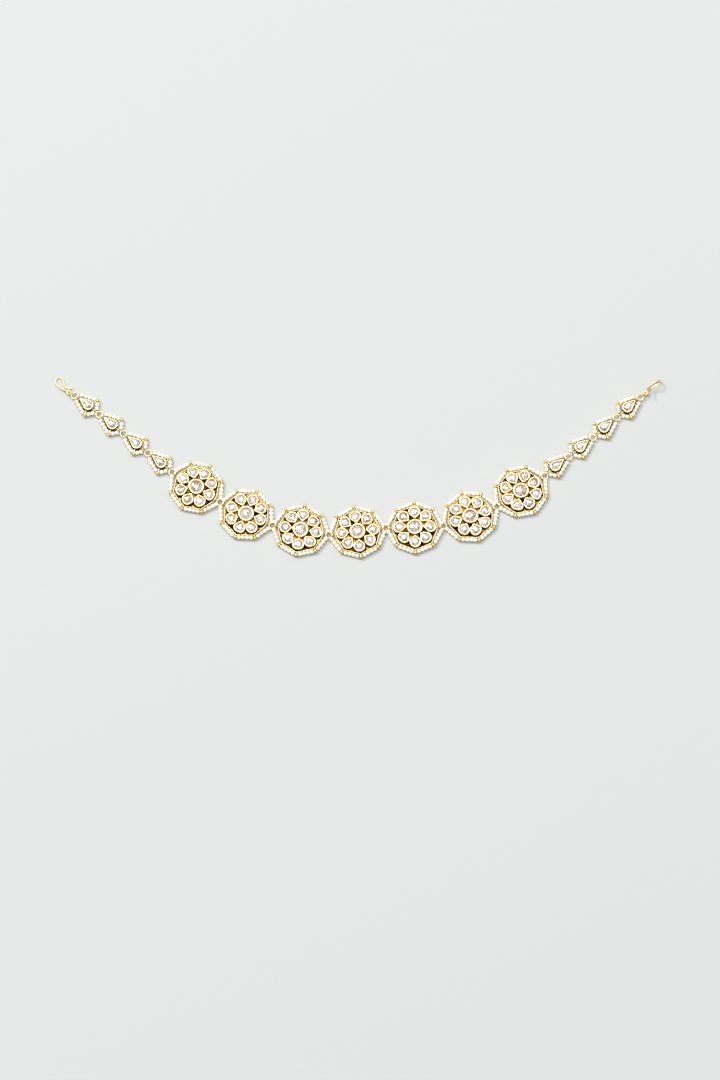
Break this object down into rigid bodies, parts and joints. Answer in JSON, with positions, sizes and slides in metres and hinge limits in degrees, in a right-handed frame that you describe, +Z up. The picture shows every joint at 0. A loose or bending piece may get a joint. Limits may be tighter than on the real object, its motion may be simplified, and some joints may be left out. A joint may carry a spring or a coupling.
{
  "type": "matha patti head ornament",
  "caption": "Head ornament of linked petal medallions and teardrops, edged with seed pearls, with a wire hook at each end, laid flat in a curve.",
  "frame": {"origin": "centre of the middle medallion's flat back, on the surface that the jewel lies on", "axes": "+X towards the right end of the laid curve, +Y away from its sag, +Z up out of the medallions' faces"},
  "size_m": [0.3251, 0.1025, 0.0047],
  "materials": {
    "gold_setting": "polished gold plating on brass",
    "gold_wire": "polished pale gold plating on brass wire",
    "gold_ball": "polished gold plating on brass beads",
    "centre_stone": "polished, backed with silver foil",
    "petal_stone": "polished, backed with silver foil",
    "seed_pearl": "soft nacre lustre",
    "green_enamel": "glossy dark green glass enamel",
    "gilt_thread": "fine twisted stringing thread"
  },
  "bodies": {
    "root": {"hook_left": "gold_wire", "hook_right": "gold_wire", "ring_01": "gold_wire", "ring_02": "gold_wire", "ring_03": "gold_wire", "ring_04": "gold_wire", "ring_05": "gold_wire", "ring_06": "gold_wire", "ring_07": "gold_wire", "ring_08": "gold_wire", "ring_09": "gold_wire", "ring_10": "gold_wire", "ring_11": "gold_wire", "ring_12": "gold_wire", "ring_13": "gold_wire", "ring_14": "gold_wire", "ring_15": "gold_wire", "ring_16": "gold_wire", "ring_17": "gold_wire", "ring_18": "gold_wire", "flower_1_setting": "gold_setting", "flower_1_stone": "centre_stone", "flower_1_pearls": "seed_pearl", "flower_2_setting": "gold_setting", "flower_2_stone": "centre_stone", "flower_2_pearls": "seed_pearl", "flower_3_setting": "gold_setting", "flower_3_stone": "centre_stone", "flower_3_pearls": "seed_pearl", "flower_4_setting": "gold_setting", "flower_4_stone": "centre_stone", "flower_4_pearls": "seed_pearl", "flower_5_setting": "gold_setting", "flower_5_stone": "centre_stone", "flower_5_pearls": "seed_pearl", "flower_6_setting": "gold_setting", "flower_6_stone": "centre_stone", "flower_6_pearls": "seed_pearl", "flower_7_setting": "gold_setting", "flower_7_stone": "centre_stone", "flower_7_pearls": "seed_pearl", "drop_1_setting": "gold_setting", "drop_1_pearls": "seed_pearl", "drop_2_setting": "gold_setting", "drop_2_pearls": "seed_pearl", "drop_3_setting": "gold_setting", "drop_3_pearls": "seed_pearl", "drop_4_setting": "gold_setting", "drop_4_pearls": "seed_pearl", "drop_5_setting": "gold_setting", "drop_5_pearls": "seed_pearl", "drop_6_setting": "gold_setting", "drop_6_pearls": "seed_pearl", "drop_7_setting": "gold_setting", "drop_7_pearls": "seed_pearl", "drop_8_setting": "gold_setting", "drop_8_pearls": "seed_pearl"}
  },
  "joints": []
}
